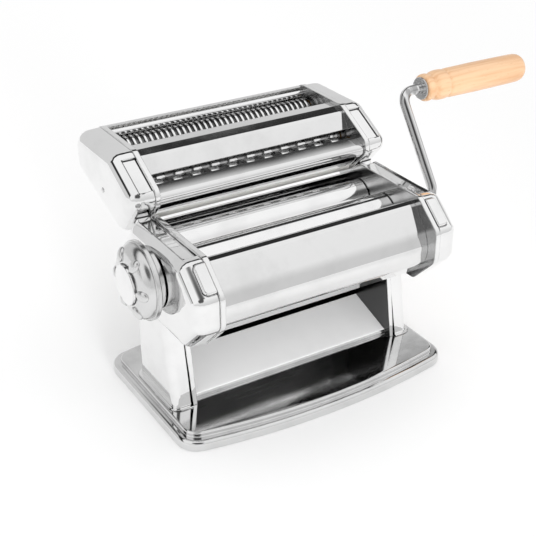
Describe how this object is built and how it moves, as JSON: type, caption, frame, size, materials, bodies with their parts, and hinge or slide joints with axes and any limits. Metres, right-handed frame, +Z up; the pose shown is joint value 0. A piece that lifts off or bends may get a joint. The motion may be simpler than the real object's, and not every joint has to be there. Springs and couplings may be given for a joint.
{
  "type": "hand-cranked pasta machine",
  "caption": "Chromed hand-cranked pasta machine: sheet rollers with a thickness knob, a lift-off double cutter unit and a bent crank with a turned wooden handle.",
  "frame": {"origin": "centre of the base's resting plane, between the two end covers", "axes": "+X towards the crank, -Y towards the user's front, +Z up"},
  "size_m": [0.3378, 0.165, 0.1715],
  "materials": {
    "chromed_sheet": "mirror chrome plating",
    "polished_steel": "polished steel",
    "comb_plastic": "smooth moulding",
    "bearing_bronze": "plain bearing metal",
    "turned_beech": "turned beech with clear varnish"
  },
  "bodies": {
    "frame": {"base_plate": "chromed_sheet", "left_leg": "chromed_sheet", "right_leg": "chromed_sheet", "dough_chute": "chromed_sheet", "rear_panel": "chromed_sheet", "left_side_plate": "chromed_sheet", "right_side_plate": "chromed_sheet", "left_cover": "chromed_sheet", "right_cover": "chromed_sheet", "front_plate": "chromed_sheet", "rear_plate": "chromed_sheet", "front_scraper": "polished_steel", "tie_rods": "polished_steel", "front_roller_bushes": "bearing_bronze", "foot_screws": "polished_steel", "knob_bracket": "polished_steel"},
    "front_roller": {"front_roller": "polished_steel", "front_roller_gear": "polished_steel"},
    "rear_carriage": {"left_slide_block": "polished_steel", "right_slide_block": "polished_steel", "carriage_bar": "polished_steel", "rear_scraper": "polished_steel"},
    "rear_roller": {"rear_roller": "polished_steel", "rear_roller_gear": "polished_steel"},
    "knob": {"thickness_knob": "chromed_sheet", "knob_cap": "chromed_sheet", "knob_cam": "polished_steel"},
    "crank": {"crank_arm": "chromed_sheet", "crank_pin": "polished_steel", "handle_washer": "polished_steel"},
    "handle": {"wooden_handle": "turned_beech"},
    "cutter": {"cutter_left_cover": "chromed_sheet", "cutter_right_cover": "chromed_sheet", "cutter_left_plate": "chromed_sheet", "cutter_right_plate": "chromed_sheet", "cutter_front_plate": "chromed_sheet", "cutter_back_plate": "chromed_sheet", "cutter_divider": "chromed_sheet", "cutter_bushes": "bearing_bronze", "cutter_tie_rods": "polished_steel", "fine_front_comb": "comb_plastic", "fine_rear_comb": "comb_plastic", "wide_front_comb": "comb_plastic", "wide_rear_comb": "comb_plastic"},
    "fine_front_cutter": {"fine_front_cutter": "polished_steel", "fine_front_gear": "polished_steel"},
    "fine_rear_cutter": {"fine_rear_cutter": "polished_steel", "fine_rear_gear": "polished_steel"},
    "wide_front_cutter": {"wide_front_cutter": "polished_steel", "wide_front_gear": "polished_steel"},
    "wide_rear_cutter": {"wide_rear_cutter": "polished_steel", "wide_rear_gear": "polished_steel"}
  },
  "joints": [
    {"name": "crank_turn", "type": "hinge", "parent": "frame", "child": "front_roller", "pos_m": [0, -0.0125, 0.1], "axis": [1, 0, 0], "continuous": true},
    {"name": "knob_turn", "type": "hinge", "parent": "frame", "child": "knob", "pos_m": [0, -0.0125, 0.1], "axis": [1, 0, 0], "range_deg": [0, 225]},
    {"name": "carriage_slide", "type": "slide", "parent": "frame", "child": "rear_carriage", "axis": [0, -1, 0], "range_m": [0, 0.002]},
    {"name": "rear_roller_spin", "type": "hinge", "parent": "rear_carriage", "child": "rear_roller", "pos_m": [0, 0.0159, 0.1], "axis": [1, 0, 0], "continuous": true},
    {"name": "crank_pull", "type": "slide", "parent": "front_roller", "child": "crank", "axis": [1, 0, 0], "range_m": [0, 0.03]},
    {"name": "handle_spin", "type": "hinge", "parent": "crank", "child": "handle", "pos_m": [0, 0.03105, 0.16106], "axis": [1, 0, 0], "continuous": true},
    {"name": "cutter_lift", "type": "slide", "parent": "frame", "child": "cutter", "axis": [0, -0.6561, 0.7547], "range_m": [0, 0.06]},
    {"name": "fine_cutter_spin", "type": "hinge", "parent": "cutter", "child": "fine_rear_cutter", "pos_m": [0, 0.08104, 0.14123], "axis": [1, 0, 0], "continuous": true},
    {"name": "fine_front_spin", "type": "hinge", "parent": "cutter", "child": "fine_front_cutter", "pos_m": [0, 0.06454, 0.14123], "axis": [1, 0, 0], "continuous": true},
    {"name": "wide_cutter_spin", "type": "hinge", "parent": "cutter", "child": "wide_front_cutter", "pos_m": [0, 0.02954, 0.13103], "axis": [1, 0, 0], "continuous": true},
    {"name": "wide_rear_spin", "type": "hinge", "parent": "cutter", "child": "wide_rear_cutter", "pos_m": [0, 0.04588, 0.13333], "axis": [1, 0, 0], "continuous": true}
  ],
  "couplings": [
    {"joint": "knob_turn", "follows": "carriage_slide", "rad_per_m": 1963.5},
    {"joint": "rear_roller_spin", "follows": "crank_turn", "ratio": -1},
    {"joint": "fine_front_spin", "follows": "fine_cutter_spin", "ratio": -1},
    {"joint": "wide_rear_spin", "follows": "wide_cutter_spin", "ratio": -1}
  ]
}
